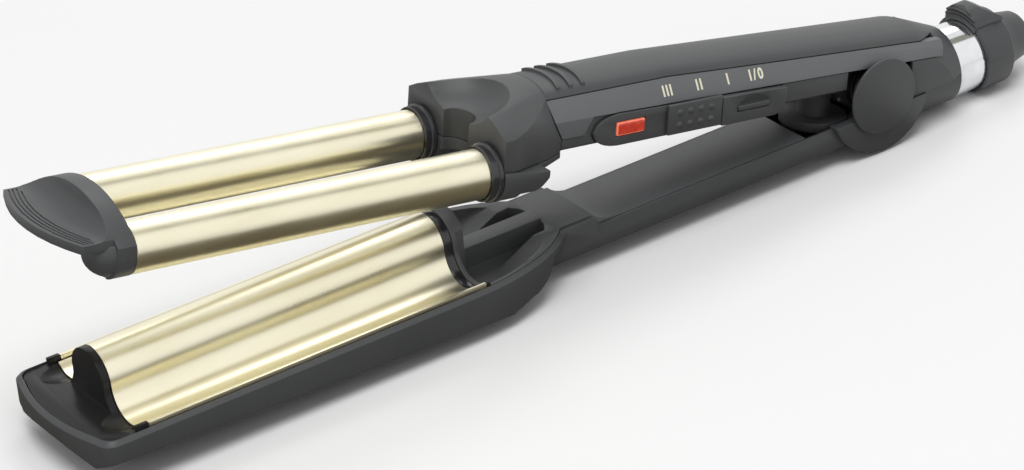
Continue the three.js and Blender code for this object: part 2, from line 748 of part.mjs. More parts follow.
// Lock collar: slides forward over the chrome sleeve; its upper half has a raised band and a ribbed ear
const collarBore = sleeveRadius + slip;
const collarRadius = collarBore + collarWall;
const bandRise = 0.4;
const bandFoot = -5.2;
const earHeight = 4.5;
const earHalfWidth = 7.5;
const earSide = outline(
  [collarFront, -stubDrop],
  [collarFront - 0.9, -stubDrop + collarRadius + earHeight * 0.7],
  [collarFront + 1, -stubDrop + collarRadius + earHeight],
  [collarFront + 4, -stubDrop + collarRadius + earHeight * 0.9],
  [collarRear, -stubDrop + collarRadius - 0.4],
  [collarRear, -stubDrop],
);
const earSection = new THREE.Shape();
earSection.absellipse(0, -stubDrop + collarRadius - 1, earHalfWidth, earHeight + 1, 0, 2 * Math.PI, false);
const earRibPitch = 1.2;
const earGrooves = [0, 1, 2].map((n) => without(
  rodX(collarRadius + earHeight - earRibPitch * (n + 0.5), collarFront - 2, collarFront - 0.35, 0, -stubDrop),
  rodX(collarRadius + earHeight - earRibPitch * (n + 1), 0, beyond, 0, -stubDrop),
));
const lockCollar = without(
  joined(
    rodX(collarRadius, collarFront, collarRear, 0, -stubDrop),
    common(rodX(collarRadius + bandRise, collarFront, collarFront + collarBandLength, 0, -stubDrop),
      box(0, beyond, -beyond, beyond, bandFoot, beyond)),
    common(prismX(earSection, collarFront - 2, collarRear), prismY(earSide, -earHalfWidth, earHalfWidth)),
  ),
  rodX(collarBore, 0, beyond, 0, -stubDrop),
  ...earGrooves,
);
piece(lowerArm, 'lock_collar', lockCollar, 'casing');

// Upper arm. Heights here are with the arms closed, and the arm is turned open about the hinge axis.
const handleFront = headFront + 12;

// Height of the line between the crowned shell and the flat side panels
function shellLineAt(x) {
  return shellLine - Math.max(0, x - handleKnee) * Math.tan(handleTaper);
}

function panelBottomAt(x) {
  return panelBottom - x * Math.tan(panelTaper);
}

// Section of the handle at one place: upright sides, leaning panels and a crowned top, all moved in by inset
const panelPull = 0.8;
const crownPull = 0.5;
const kinkPull = 0.3;
function handleRing(x, inset) {
  const half = handleHalfWidth - inset;
  const crownHalf = shellHalfWidth - inset * panelPull;
  const kink = panelBottomAt(x) - inset * kinkPull;
  const line = shellLineAt(x) - inset * crownPull;
  const rise = crownHeight - inset * crownPull;
  const ring = [];
  [-1, 1].forEach((sign) => {
    ring.push(new THREE.Vector3(x, sign * half, restHeight), new THREE.Vector3(x, sign * half, kink));
  });
  for (let n = 0; n <= coarse; n += 1) {
    const turn = (Math.PI * n) / coarse;
    ring.push(new THREE.Vector3(x, crownHalf * Math.cos(turn), line + rise * Math.sin(turn)));
  }
  return ring;
}

function handleEnvelope(inset) {
  return solid(new ConvexGeometry([
    ...handleRing(handleFront, inset), ...handleRing(handleKnee, inset), ...handleRing(2 * tailRear, inset),
  ]));
}

// A point of the lower arm, seen from the upper arm while the arms are open
function fromLower(x, z) {
  const point = new THREE.Vector3(x, 0, z).applyAxisAngle(new THREE.Vector3(0, 1, 0), -openAngle);
  return [point.x, point.z];
}

// Domed tail: turned about the stub's axis, so that it meets the chrome sleeve when the arms are open
const tailRear = sleeveFront - 2 * slip;
const tailNarrow = 0.92;
const tailRim = halfBarrelRadius + 1.3;
const tailCrown = 26;
const tailLead = -20;
const tailLeadRise = 6;
const tailShoulder = 9.5;
const tailBend = 16;
const tailBendDrop = 2.4;
const tailSlope = 23.3;
const tailSlopeDrop = 6.2;
const tailFoot = 30.3;
const tailFootRise = 2.7;
function tailDome(inset) {
  const dome = new THREE.SplineCurve([
    [tailLead, tailCrown + tailLeadRise],
    [tailShoulder, tailCrown],
    [tailBend, tailCrown - tailBendDrop],
    [tailSlope, tailCrown - tailSlopeDrop],
    [tailFoot, tailRim + tailFootRise],
    [tailRear, tailRim],
  ].map(([x, radius]) => new THREE.Vector2(x, radius - inset)));
  const rim = dome.getPoints(coarse).map((point) => new THREE.Vector2(point.y, point.x));
  const profile = [
    new THREE.Vector2(0, handleFront * 2),
    new THREE.Vector2(4 * tailCrown, handleFront * 2),
    ...rim,
    new THREE.Vector2(0, tailRear),
  ];
  const geometry = new THREE.LatheGeometry(profile, fine).rotateZ(-Math.PI / 2).scale(1, tailNarrow, 1);
  return solid(geometry.translate(0, 0, -stubDrop).rotateY(-openAngle));
}

const seamTop = -126;
const seamLine = -127.6;
const seamKink = -126.4;
const seamFoot = -123.5;
const seamKnee = 7.1;
const behindSeam = prismY(outline(
  [seamTop + seat, beyond],
  [seamTop + seat, shellLine + crownHeight],
  [seamLine + seat, shellLine],
  [seamKink + seat, panelBottomAt(seamKink)],
  [seamFoot + seat, seamKnee],
  [seamFoot + seat, 0],
  [beyond, 0],
  [beyond, beyond],
), -beyond, beyond);
const handleSolid = common(handleEnvelope(0), tailDome(0));
const aboveShellLine = prismY(outline(
  [-beyond, shellLine],
  [handleKnee, shellLine],
  [beyond, shellLineAt(beyond)],
  [beyond, beyond],
  [-beyond, beyond],
), -beyond, beyond);
const panelRearTop = panelRear + panelRearLean;
const skirtFront = 12;
const tailRegion = prismY(outline(
  [panelRearTop + seat, beyond],
  [panelRearTop + seat, shellLineAt(panelRearTop)],
  [panelRear + seat, panelBottomAt(panelRear) - seat],
  [skirtFront, panelBottomAt(skirtFront) - seat],
  fromLower(skirtFront, splitHeight + seat),
  fromLower(beyond, splitHeight + seat),
  [beyond, beyond],
), -beyond, beyond);
function ridgeRib(n) {
  const centre = ribMiddle + n * ribPitch - ribBow;
  const ring = without(
    rodZ(ribBow + ribWidth / 2, 0, beyond, centre, 0, fine * 4),
    rodZ(ribBow - ribWidth / 2, -seat, beyond + seat, centre, 0, fine * 4),
  );
  return common(ring, handleEnvelope(-ribHeight), box(seamTop + seat, handleKnee, -ribReach, ribReach,
    shellLine, beyond));
}
const stubRoom = turnedX([[hubRadius, 0], [hubRadius, stubBay], [beyond / 4, stubBay], [beyond / 4, 0]],
  -stubDrop, -openAngle);
const upperShell = without(
  joined(
    common(handleSolid, aboveShellLine, behindSeam),
    common(handleSolid, tailRegion),
    ...[0, 1, 2].map((n) => common(ridgeRib(n), behindSeam, tailDome(-ribHeight))),
  ),
  common(handleEnvelope(shellWall), tailDome(shellWall), box(-beyond, tailRear - shellWall, -beyond, beyond,
    -beyond, beyond)),
  stubRoom,
  common(rodY(discRadius + 2 * slip, -beyond, beyond), box(-discRadius, beyond, -beyond, beyond, -beyond,
    panelBottomAt(0))),
);
piece(upperArm, 'upper_shell', upperShell, 'casing');

// Side of the controls: outline of the oval bezel in X and Z, grown by a margin
function bezelOutline(grow) {
  const bezel = new THREE.Shape();
  const nose = 9;
  const heel = 5;
  const topRear = bezelTop - (bezelRear - bezelFront) * Math.tan(panelTaper);
  const left = bezelFront - grow;
  const right = bezelRear + grow;
  const low = bezelBottom - grow;
  bezel.moveTo(bezelFront + nose, low);
  bezel.lineTo(bezelRear - heel, low);
  bezel.quadraticCurveTo(right, low, right, low + heel);
  bezel.lineTo(right, topRear + grow);
  bezel.lineTo(bezelFront + nose, bezelTop + grow);
  bezel.quadraticCurveTo(left + 1, bezelTop + grow - 0.5, left, (bezelTop + bezelBottom) / 2);
  bezel.quadraticCurveTo(left + 1, low + 0.5, bezelFront + nose, low);
  return bezel;
}
const bezelHole = prismY(bezelOutline(seat), -beyond, -handleHalfWidth / 2);

// Flat side panels between the crowned shell and the bottom shell
sides.forEach(({ label, sign }) => {
  const panelShape = outline([seamLine + 2 * seat, shellLine - seat], [handleKnee, shellLine - seat],
    [panelRearTop, shellLineAt(panelRearTop) - seat], [panelRear, panelBottomAt(panelRear)],
    [bezelFront, panelBottomAt(bezelFront)], [bezelFront - 3, seamKnee], [seamFoot + 2 * seat, seamKnee],
    [seamKink + 2 * seat, panelBottomAt(seamKink)]);
  const skin = without(handleEnvelope(0), handleEnvelope(panelThickness));
  const panel = common(skin, prismY(panelShape, Math.min(sign * handleHalfWidth, 0),
    Math.max(sign * handleHalfWidth, 0)));
  piece(upperArm, `side_panel_${label}`, sign < 0 ? without(panel, bezelHole) : panel, 'panel');
});

// Bottom shell of the handle, with the hinge knuckle
const bottomHalf = handleHalfWidth - bottomInset;
const bottomRear = -discRadius - 1.4;
const floorTop = handleBottom + shellWall;
const bottomSection = neckSection(bottomHalf, handleBottom, beyond);
const bottomSide = outline([seamFoot + 2 * seat, 0], [seamFoot + 2 * seat, seamKnee - seat],
  [bezelFront - 3, seamKnee - seat],
  [bezelFront, panelBottomAt(bezelFront) - seat], [bottomRear, panelBottomAt(bottomRear) - seat],
    [bottomRear, 0]);
const hingeWeb = joined(
  rodY(knuckleRadius, -knuckleHalfWidth, knuckleHalfWidth),
  box(bottomRear - 4, 0, -knuckleHalfWidth, knuckleHalfWidth, handleBottom, floorTop),
);
const bumperHole = bumperNeck / 2;
const bottomShell = without(
  joined(
    without(common(prismX(bottomSection, handleFront, 0), prismY(bottomSide, -bottomHalf, bottomHalf)),
      box(-beyond, beyond, -bottomHalf + shellWall, bottomHalf - shellWall, floorTop, beyond)),
    hingeWeb,
  ),
  rodY(axleRadius + slip, -beyond, beyond, 0, 0, coarse),
  rodZ(bumperHole + slip, 0, beyond, bumperCentre),
  bezelHole,
);
piece(upperArm, 'handle_bottom_shell', bottomShell, 'casing');

// Rubber bumper that limits how hard the arms close, snapped into the bottom shell
const bumperTop = bumperBottom + bumperThickness;
piece(upperArm, 'rubber_bumper', joined(
  rodZ(bumperRadius, bumperBottom, bumperTop, bumperCentre, 0, fine),
  rodZ(bumperNeck, bumperBottom + 1, handleBottom - seat, bumperCentre),
  rodZ(bumperHole, 0, floorTop + 1, bumperCentre),
  rodZ(bumperHole + 1, floorTop + seat, floorTop + 1.6, bumperCentre),
), 'rubber');

// Head housing: the top of the yoke, with facets at its corners, a scooped top and a slot between the barrels
const headSideRear = -130.6;
const headSideHalf = 18.5;
const edgeRun = 3;
const edgeBulge = 12.8;
const edgeDrawIn = 2.6;
const archSteps = 6;
const archCentre = headTop - headArch;
const cornerHeight = archCentre + Math.sqrt(headArch ** 2 - headHalfWidth ** 2);
const barrelSeat = headFront + barrelInHead;
const headCorners = [];
for (let n = -archSteps; n <= archSteps; n += 1) {
  const y = headHalfWidth * (n / archSteps);
  const turn = (Math.PI / 2) * (n / archSteps);
  headCorners.push([headFront, y, archCentre + Math.sqrt(headArch ** 2 - y ** 2)], [headFront, y, 0]);
  headCorners.push([seamTop, shellHalfWidth * Math.sin(turn), shellLine + crownHeight * Math.cos(turn)]);
}
[-1, 1].forEach((sign) => {
  const edge = new THREE.QuadraticBezierCurve3(
    new THREE.Vector3(headFront + edgeRun, sign * headHalfWidth, cornerHeight),
    new THREE.Vector3(headFront + edgeBulge, sign * (headHalfWidth - edgeDrawIn),
      (cornerHeight + shellLine) / 2),
    new THREE.Vector3(seamLine, sign * shellHalfWidth, shellLine),
  );
  edge.getPoints(archSteps).forEach((point) => headCorners.push(point.toArray()));
  [0, headPartingFront].forEach((z) => headCorners.push([barrelSeat + 1, sign * headHalfWidth, z]));
  [0, headParting].forEach((z) => headCorners.push([headSideRear, sign * headSideHalf, z]));
  [0, seamKnee].forEach((z) => headCorners.push([seamFoot, sign * handleHalfWidth, z]));
  headCorners.push([seamKink, sign * handleHalfWidth, panelBottomAt(seamKink)]);
});
const headHull = solid(new ConvexGeometry(headCorners.map((corner) => new THREE.Vector3(...corner))));
const headWall = 2;
const dishCentre = [headFront - 6, 0, headTop + 3];
const dishReach = [22.7, 18.4, 12.3];
const slotHalfWidth = 6.5;
const slotDepth = 5.2;
const slotPlan = new THREE.Shape();
slotPlan.absellipse(headFront, 0, slotDepth, slotHalfWidth, 0, 2 * Math.PI, false);
const headSlot = prismZ(slotPlan, -beyond, beyond, arcSteps * 2);
const barrelBores = mirrored((sign) => rodX(barrelRadius + seat, barrelFront, barrelSeat + seat,
  sign * barrelOffset, barrelHeight));
const roomFront = headFront + slotDepth + headWall;
const roomHalf = handleHalfWidth - headWall - seat;
const roomCrown = shellHalfWidth - headWall;
const headRoom = without(
  joined(
    box(roomFront, beyond, -roomHalf, roomHalf, -beyond, panelBottomAt(seamKink) - 1),
    box(roomFront, beyond, -roomCrown, roomCrown, -beyond, shellLine - headWall),
    mirrored((sign) => sideBox(sign, barrelSeat - seat, roomFront + 1, slotHalfWidth + headWall,
      barrelOffset, -beyond,
      barrelHeight + barrelRadius / 2)),
  ),
  egg(dishCentre, dishReach.map((reach) => reach + headWall), 32),
);
const beforeSeam = prismY(outline(
  [-beyond, headPartingFront],
  [-beyond, beyond],
  [seamTop, beyond],
  [seamTop, shellLine + crownHeight],
  [seamLine, shellLine],
  [seamKink, panelBottomAt(seamKink)],
  [seamFoot, seamKnee],
  [seamFoot, headParting],
  [headSideRear, headParting],
  [headFront, headPartingFront],
), -beyond, beyond);
piece(upperArm, 'head_housing', without(common(headHull, beforeSeam), egg(dishCentre, dishReach, 32),
  headSlot, barrelBores, headRoom), 'casing');

// Head lower cover: a flat floor and two rounded lobes under the barrels
const underParting = prismY(outline(
  [-beyond, -beyond],
  [-beyond, headPartingFront - seat],
  [headFront, headPartingFront - seat],
  [headSideRear, headParting - seat],
  [beyond, headParting - seat],
  [beyond, -beyond],
), -beyond, beyond);
const lobeFoot = barrelHeight - lobeRadius;
const lobeLength = 16;
const lobeEnd = headFront + 15.9;
const lobeEndRise = 7.5;
const lobeBend = headFront + 13.7;
const lobeBendRise = 4;
const lobeHeel = headFront + 9.7;
const lobeHeelRise = 1.4;
const lobeBelly = headFront + 4.7;
const lobeBellyDrop = 0.2;
const lobeFrontDrop = 3;
const lobeSide = outline(
  [headFront, beyond],
  [headFront, lobeFoot - lobeFrontDrop],
  [lobeBelly, lobeFoot - lobeBellyDrop],
  [lobeHeel, lobeFoot + lobeHeelRise],
  [lobeBend, lobeFoot + lobeBendRise],
  [lobeEnd, lobeFoot + lobeEndRise],
  [lobeEnd, beyond],
);
const lobeRoom = joined(prismZ(recessPlan(3 * seat), -beyond, beyond, arcSteps * 2),
  box(-beyond, 0, -beyond, beyond, trayRim + seat, beyond));
const lobes = common(
  mirrored((sign) => rodX(lobeRadius, headFront, headFront + lobeLength, sign * barrelOffset, barrelHeight)),
  lobeRoom,
  prismY(lobeSide, -beyond, beyond),
);
const floorPlan = outline(
  [headFront, -headHalfWidth],
  [barrelSeat + 1, -headHalfWidth],
  [headSideRear, -headSideHalf],
  [seamFoot, -handleHalfWidth],
  [seamFoot, handleHalfWidth],
  [headSideRear, headSideHalf],
  [barrelSeat + 1, headHalfWidth],
  [headFront, headHalfWidth],
);
piece(upperArm, 'head_lower_cover', without(
  common(joined(lobes, prismZ(floorPlan, handleBottom, lobeRadius)), underParting),
  barrelBores,
  headSlot,
), 'casing');

// Barrels with their collars, heater cores and ceramic strips
const rimWidth = 1.8;
const coreRadius = barrelRadius - barrelWall - seat;
const stripHalfWidth = 4;
const stripThickness = 2;
const spigotLength = 8;
sides.forEach(({ label, sign }) => {
  const at = [0, sign * barrelOffset, barrelHeight];
  const bore = rodX(barrelRadius + seat, -beyond, 0);
  piece(upperArm, `barrel_${label}`, without(rodX(barrelRadius, barrelFront + seat, barrelSeat),
    rodX(barrelRadius - barrelWall, -beyond, 0)), 'gold', at);
  piece(upperArm, `barrel_collar_${label}`, without(joined(
    rodX(collarStepRadius, barrelRear, barrelRear + collarWidth - rimWidth / 2),
    rodX(collarRimRadius, barrelRear + collarWidth - rimWidth, barrelRear + collarWidth),
  ), bore), 'gloss', at);
  const slotRoom = box(-beyond, 0, -beyond, beyond, -stripThickness / 2 - seat, stripThickness / 2 + seat);
  const coreFrom = barrelFront + spigotLength + 2;
  const core = common(rodX(coreRadius, coreFrom, barrelSeat - 2, 0, 0, coarse * 2),
    without(box(-beyond, 0, -beyond, beyond, -beyond, beyond), common(slotRoom, box(-beyond, 0,
      -stripHalfWidth - seat, beyond, -beyond, beyond))));
  piece(upperArm, `heater_core_${label}`, core, 'steel', at);
  piece(upperArm, `barrel_heater_${label}`, box(coreFrom + 2, barrelSeat - 4, -stripHalfWidth, stripHalfWidth,
    -stripThickness / 2, stripThickness / 2), 'ceramic', at);
});

// Tip cap: arched body with a boss for each barrel, a scooped top and a bowed, grooved lip
const lipBottom = lipTop - lipThickness;
const capHalf = barrelOffset + bossRadius;
const capBody = new THREE.Shape();
const capArchCentre = capArchTop - capArch;
const archAngle = Math.asin(capHalf / capArch);
capBody.moveTo(capHalf, barrelHeight);
capBody.absarc(0, capArchCentre, capArch, Math.PI / 2 - archAngle, Math.PI / 2 + archAngle, false);
capBody.lineTo(-capHalf, barrelHeight);
capBody.absarc(-barrelOffset, barrelHeight, bossRadius, Math.PI, 2 * Math.PI, false);
capBody.absarc(0, barrelHeight, barrelOffset - bossRadius, Math.PI, 0, true);
capBody.absarc(barrelOffset, barrelHeight, bossRadius, Math.PI, 2 * Math.PI, false);
function lipPlan(inset) {
  const plan = new THREE.Shape();
  const front = lipFront + inset;
  plan.moveTo(barrelFront, -lipHalfWidth);
  plan.lineTo(barrelFront, lipHalfWidth);
  plan.lineTo(front + lipBow, lipHalfWidth);
  plan.quadraticCurveTo(front - lipBow, 0, front + lipBow, -lipHalfWidth);
  return plan;
}
const capLid = new THREE.Shape();
capLid.moveTo(capHalf, barrelHeight);
capLid.absarc(0, capArchCentre, capArch, Math.PI / 2 - archAngle, Math.PI / 2 + archAngle, false);
capLid.lineTo(-capHalf, barrelHeight);
const crestFront = barrelFront - capDepth;
const crestRise = 5.5;
const notch = rodX(barrelOffset - bossRadius, crestFront, 0, 0, barrelHeight);
const scoopSide = new THREE.Shape();
scoopSide.moveTo(crestFront, beyond);
scoopSide.lineTo(crestFront, lipTop + crestRise);
scoopSide.quadraticCurveTo(crestFront - grooveWidth, lipTop, crestFront - crestRise, lipTop);
scoopSide.lineTo(-beyond, lipTop);
scoopSide.lineTo(-beyond, beyond);
const scoop = prismY(scoopSide, -beyond, beyond);
const lip = without(common(prismX(capLid, lipFront - lipBow, barrelFront, 10), prismZ(lipPlan(0), lipBottom,
  beyond, 8)), notch);
const bosses = mirrored((sign) => joined(
  common(egg([barrelFront - 2, sign * barrelOffset, barrelHeight], [bossLength - 2, bossRadius, bossRadius],
    fine),
    box(-beyond, barrelFront, -beyond, beyond, -beyond, lipBottom + 1)),
  rodX(barrelRadius - barrelWall - seat, barrelFront - 1, barrelFront + spigotLength, sign * barrelOffset,
    barrelHeight, coarse * 2),
));
const grooveReach = lipHalfWidth - 0.8;
const grooves = Array.from({ length: grooveCount }, (_, n) => {
  const inset = (n + 1) * groovePitch;
  const band = without(prismZ(lipPlan(inset), lipTop - grooveDepth, beyond, 8),
    prismZ(lipPlan(inset + grooveWidth), -beyond, 2 * beyond, 8));
  return common(band, box(-beyond, crestFront - crestRise, -grooveReach, grooveReach, 0, beyond));
});
const tipScrewX = barrelFront - 4;
const tipScrewRadius = 1;
const tipScrewHead = 2;
const tipScrewDepth = barrelHeight - bossRadius;
const tipWell = mirrored((sign) => joined(
  rodZ(tipScrewHead + seat, -beyond, tipScrewDepth + 2, tipScrewX, sign * barrelOffset),
  rodZ(tipScrewRadius + slip, -beyond, barrelHeight + 2, tipScrewX, sign * barrelOffset),
));
const tipCap = without(
  joined(prismX(capBody, barrelFront - capDepth, barrelFront, 10), lip, bosses),
  scoop, ...grooves, tipWell,
);
piece(upperArm, 'tip_cap', tipCap, 'casing');
sides.forEach(({ label, sign }) => {
  piece(upperArm, `tip_screw_${label}`, joined(rodZ(tipScrewHead, 0.3, 1.6), rodZ(tipScrewRadius, 1, 6)),
    'steel',
    [tipScrewX, sign * barrelOffset, tipScrewDepth]);
});

// Controls: bezel, temperature slider, power button and lamp lens
const face = -handleHalfWidth - bezelProud;
const raisedFace = -handleHalfWidth - raisedProud;
const bezelBack = face + bezelDepth;
const sliderRear = sliderFront + sliderLength;
const sliderMiddle = (sliderFront + sliderRear) / 2;
const stemHalfLength = 4;
const stemHalfHeight = 1.7;
const raisedFront = sliderRear + seat;
const lensRear = lensFront + lensLength;
function buttonOutline(grow) {
  const half = new THREE.Shape();
  half.moveTo(buttonCentre - buttonRadius - grow, controlHeight - 1.4 - grow);
  half.lineTo(buttonCentre + buttonRadius + grow, controlHeight - 1.4 - grow);
  half.lineTo(buttonCentre + buttonRadius + grow, controlHeight);
  half.absellipse(buttonCentre, controlHeight, buttonRadius + grow, 3 + grow, 0, Math.PI, false);
  return half;
}
const bezel = without(
  joined(prismY(bezelOutline(0), face, bezelBack),
    common(prismY(bezelOutline(0), raisedFace, bezelBack), box(raisedFront, beyond, -beyond, beyond,
      -beyond, beyond))),
  box(sliderMiddle - stemHalfLength - sliderTravel - seat, sliderMiddle + stemHalfLength + seat, -beyond, 0,
    controlHeight - stemHalfHeight - seat, controlHeight + stemHalfHeight + seat),
  box(lensFront - seat, lensRear + seat, -beyond, 0, controlHeight - lensHeight / 2 - seat,
    controlHeight + lensHeight / 2 + seat),
  prismY(buttonOutline(seat), -beyond, 0),
);
piece(upperArm, 'switch_bezel', bezel, 'casing');

const sliderBack = face - slip;
const boardInset = 4.5;
const switchInset = 2.7;
const boardFace = boardInset - handleHalfWidth;
const switchFace = switchInset - handleHalfWidth;
const dots = [];
const dotColumns = 4;
const dotPitch = 4;
for (let column = 0; column < dotColumns; column += 1) {
  for (let row = 0; row < 2; row += 1) {
    const x = sliderMiddle + (column - (dotColumns - 1) / 2) * dotPitch;
    dots.push(rodY(dotRadius, raisedFace - dotHeight, raisedFace + seat, x,
      controlHeight + (row - 0.5) * dotPitch, 10));
  }
}
piece(upperArm, 'temperature_slider', joined(
  box(sliderFront, sliderRear, raisedFace, sliderBack, controlHeight - sliderHeight / 2,
    controlHeight + sliderHeight / 2),
  box(sliderMiddle - stemHalfLength, sliderMiddle + stemHalfLength, raisedFace + seat, switchFace - seat,
    controlHeight - stemHalfHeight, controlHeight + stemHalfHeight),
  ...dots,
), 'casing');

const dishFace = raisedFace + 1.1;
const barFoot = controlHeight - 1.4;
piece(upperArm, 'power_button', joined(
  prismY(buttonOutline(0), dishFace, bezelBack),
  box(buttonCentre - buttonRadius, buttonCentre + buttonRadius, raisedFace - 0.3, bezelBack, barFoot,
    barFoot + 1.7),
  rodY(1.2, bezelBack - 1, switchFace - seat - buttonTravel, buttonCentre, controlHeight, 10),
), 'casing');
piece(upperArm, 'led_lens', box(lensFront, lensRear, face - 0.9, bezelBack, controlHeight - lensHeight / 2,
  controlHeight + lensHeight / 2), 'lens');

// Electronics behind the controls
const boardThickness = 1.4;
piece(upperArm, 'circuit_board', box(bezelFront + 4, bezelRear - 4, boardFace, boardFace + boardThickness,
  floorTop + 0.4, panelBottomAt(bezelRear) + 1), 'board');
const switchHalf = 9;
piece(upperArm, 'slide_switch', box(sliderMiddle - switchHalf, sliderMiddle + switchHalf, switchFace,
  boardFace - seat,
  controlHeight - 3.2, controlHeight + 3.2), 'gloss');
piece(upperArm, 'push_switch', box(buttonCentre - 3.5, buttonCentre + 3.5, switchFace, boardFace - seat,
  controlHeight - 3, controlHeight + 3), 'gloss');
piece(upperArm, 'led_lamp', rodY(1.5, bezelBack + seat, boardFace - seat, (lensFront + lensRear) / 2,
  controlHeight, 12), 'lens');

// The object stands on a table, its middle over the origin
const extent = new THREE.Box3().setFromObject(waver);
const middle = extent.getCenter(new THREE.Vector3());
waver.position.set(-middle.x, -middle.y, -extent.min.z);
waver.updateMatrixWorld(true);

export default waver;
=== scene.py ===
import json
from math import asin, cos, pi, radians, sin

import bmesh
import bpy
from mathutils import Matrix, Vector
from mathutils.bvhtree import BVHTree


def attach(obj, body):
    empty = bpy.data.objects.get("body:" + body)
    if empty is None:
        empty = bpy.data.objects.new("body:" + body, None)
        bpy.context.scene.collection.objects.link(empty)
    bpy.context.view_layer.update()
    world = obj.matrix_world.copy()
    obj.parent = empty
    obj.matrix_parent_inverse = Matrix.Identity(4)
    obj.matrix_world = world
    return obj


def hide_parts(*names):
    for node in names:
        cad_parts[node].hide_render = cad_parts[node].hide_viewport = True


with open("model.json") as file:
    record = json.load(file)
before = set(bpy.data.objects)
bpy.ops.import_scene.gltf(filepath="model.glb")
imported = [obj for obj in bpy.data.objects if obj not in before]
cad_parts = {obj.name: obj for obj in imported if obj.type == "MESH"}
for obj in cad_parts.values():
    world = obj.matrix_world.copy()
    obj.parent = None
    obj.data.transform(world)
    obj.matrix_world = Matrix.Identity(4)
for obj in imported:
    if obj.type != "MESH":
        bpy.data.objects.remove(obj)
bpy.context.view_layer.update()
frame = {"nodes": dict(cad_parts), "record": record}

# Camera: a long lens near the front left, above the table and rolled a little, as a catalogue shot
# is taken. Its place is measured from the hinge axis, where every drawing below has its origin.
hinge = Vector(next(joint for joint in frame["record"]["behaviour"]["joints"]
                    if joint["name"] == "jaw_hinge")["pos_m"])
camera_from_hinge = Vector((-0.69367, -0.87445, 0.55757))
camera_turn = radians(-32.76)
camera_rise = radians(28.47)
camera_roll = radians(-5.08)
level_right = Vector((cos(camera_turn), sin(camera_turn), 0))
camera_back = Vector((sin(camera_turn) * cos(camera_rise), -cos(camera_turn) * cos(camera_rise),
                      sin(camera_rise)))
level_up = camera_back.cross(level_right)
camera_right = level_right * cos(camera_roll) + level_up * sin(camera_roll)
camera_up = level_up * cos(camera_roll) - level_right * sin(camera_roll)
camera_axes = Matrix((camera_right, camera_up, camera_back)).transposed().to_4x4()
camera = bpy.data.objects.new("camera", bpy.data.cameras.new("camera"))
camera.data.sensor_width = 36
camera.data.lens = 138.95
camera.data.clip_end = 20
camera.matrix_world = Matrix.Translation(hinge + camera_from_hinge) @ camera_axes
bpy.context.scene.collection.objects.link(camera)
bpy.context.scene.camera = camera
bpy.context.scene.view_settings.view_transform = "Standard"


# Floor: a pale matt table that runs far past the picture and keeps the waver's soft shadow. It has
# no gloss, so that the cards of the studio don't show in it.
class Wire:
    """One output of a node in a material. Sums and products of wires add their Math nodes."""

    def __init__(self, tree, socket=None):
        self.tree = tree
        self.socket = socket

    def node(self, kind, settings, sockets, output=0):
        made = self.tree.nodes.new("ShaderNode" + kind)
        for key, value in settings.items():
            if key == "stops":
                elements = made.color_ramp.elements
                for index, (position, colour) in enumerate(value):
                    stop = elements[index] if index < len(elements) else elements.new(position)
                    stop.position = position
                    stop.color = (*colour, 1)
            else:
                setattr(made, key, value)
        for key, value in sockets.items():
            if isinstance(value, Wire):
                self.tree.links.new(value.socket, made.inputs[key])
            else:
                made.inputs[key].default_value = value
        return Wire(self.tree, made.outputs[output])

    def __add__(self, other):
        return self.node("Math", {"operation": "ADD"}, {0: self, 1: other})

    __radd__ = __add__

    def __mul__(self, other):
        return self.node("Math", {"operation": "MULTIPLY"}, {0: self, 1: other})

    __rmul__ = __mul__

    def __sub__(self, other):
        return self.node("Math", {"operation": "SUBTRACT"}, {0: self, 1: other})

    def __rsub__(self, other):
        return self.node("Math", {"operation": "SUBTRACT"}, {0: other, 1: self})


def finish(name, constants):
    material = bpy.data.materials.new(name)
    material.use_nodes = True
    for socket, value in constants.items():
        material.node_tree.nodes["Principled BSDF"].inputs[socket].default_value = value
    return material, Wire(material.node_tree)


def show(mesh, name, material):
    data = bpy.data.meshes.new(name)
    mesh.to_mesh(data)
    mesh.free()
    shown = bpy.data.objects.new(name, data)
    bpy.context.scene.collection.objects.link(shown)
    data.materials.append(material)
    return shown


floor_half_width = 12
pale_table, _ = finish("pale_table", {"Base Color": (0.93, 0.93, 0.93, 1), "Specular IOR Level": 0.0})
floor_mesh = bmesh.new()
bmesh.ops.create_grid(floor_mesh, x_segments=2, y_segments=2, size=floor_half_width)
show(floor_mesh, "floor", pale_table)

# Studio: a white room at an even level, a broad softbox above and to the front, and a small one
# behind. Two dull cards, out of the camera's sight, give the metal its dark bands.
room_level = 0.46
lamps = (
    ("softbox", (-0.45, -0.6, 2.2), 1.4, 28),
    ("rear_box", (0.7, 0.9, 1.4), 0.8, 4.5),
)
cards = (
    ("low_card", (hinge.x - 0.32, -0.06, 0.0004), (0.34, 0.25), (0.115, 0.1, 0.07, 1)),
    ("high_card", (0.3, -0.2, 1.0), (1.6, 0.17), (0.42, 0.42, 0.36, 1)),
)
world = bpy.data.worlds.new("studio")
bpy.context.scene.world = world
world.use_nodes = True
room = world.node_tree.nodes["Background"].inputs
sky = Wire(world.node_tree)
seen = sky.node("LightPath", {}, {}, "Is Camera Ray")
mirrored = sky.node("LightPath", {}, {}, "Is Glossy Ray")
through = sky.node("LightPath", {}, {}, "Is Transmission Ray")
white_share = sky.node("Math", {"operation": "MAXIMUM"}, {0: seen + mirrored, 1: through})
room["Color"].default_value = (1, 1, 1, 1)
world.node_tree.links.new((white_share * (1 - room_level) + room_level).socket, room["Strength"])
for name, place, size, energy in lamps:
    light = bpy.data.lights.new(name, "AREA")
    light.shape = "DISK"
    light.size = size
    light.energy = energy
    lamp = bpy.data.objects.new(name, light)
    lamp.location = place
    lamp.rotation_euler = Vector(place).to_track_quat("Z", "Y").to_euler()
    bpy.context.scene.collection.objects.link(lamp)
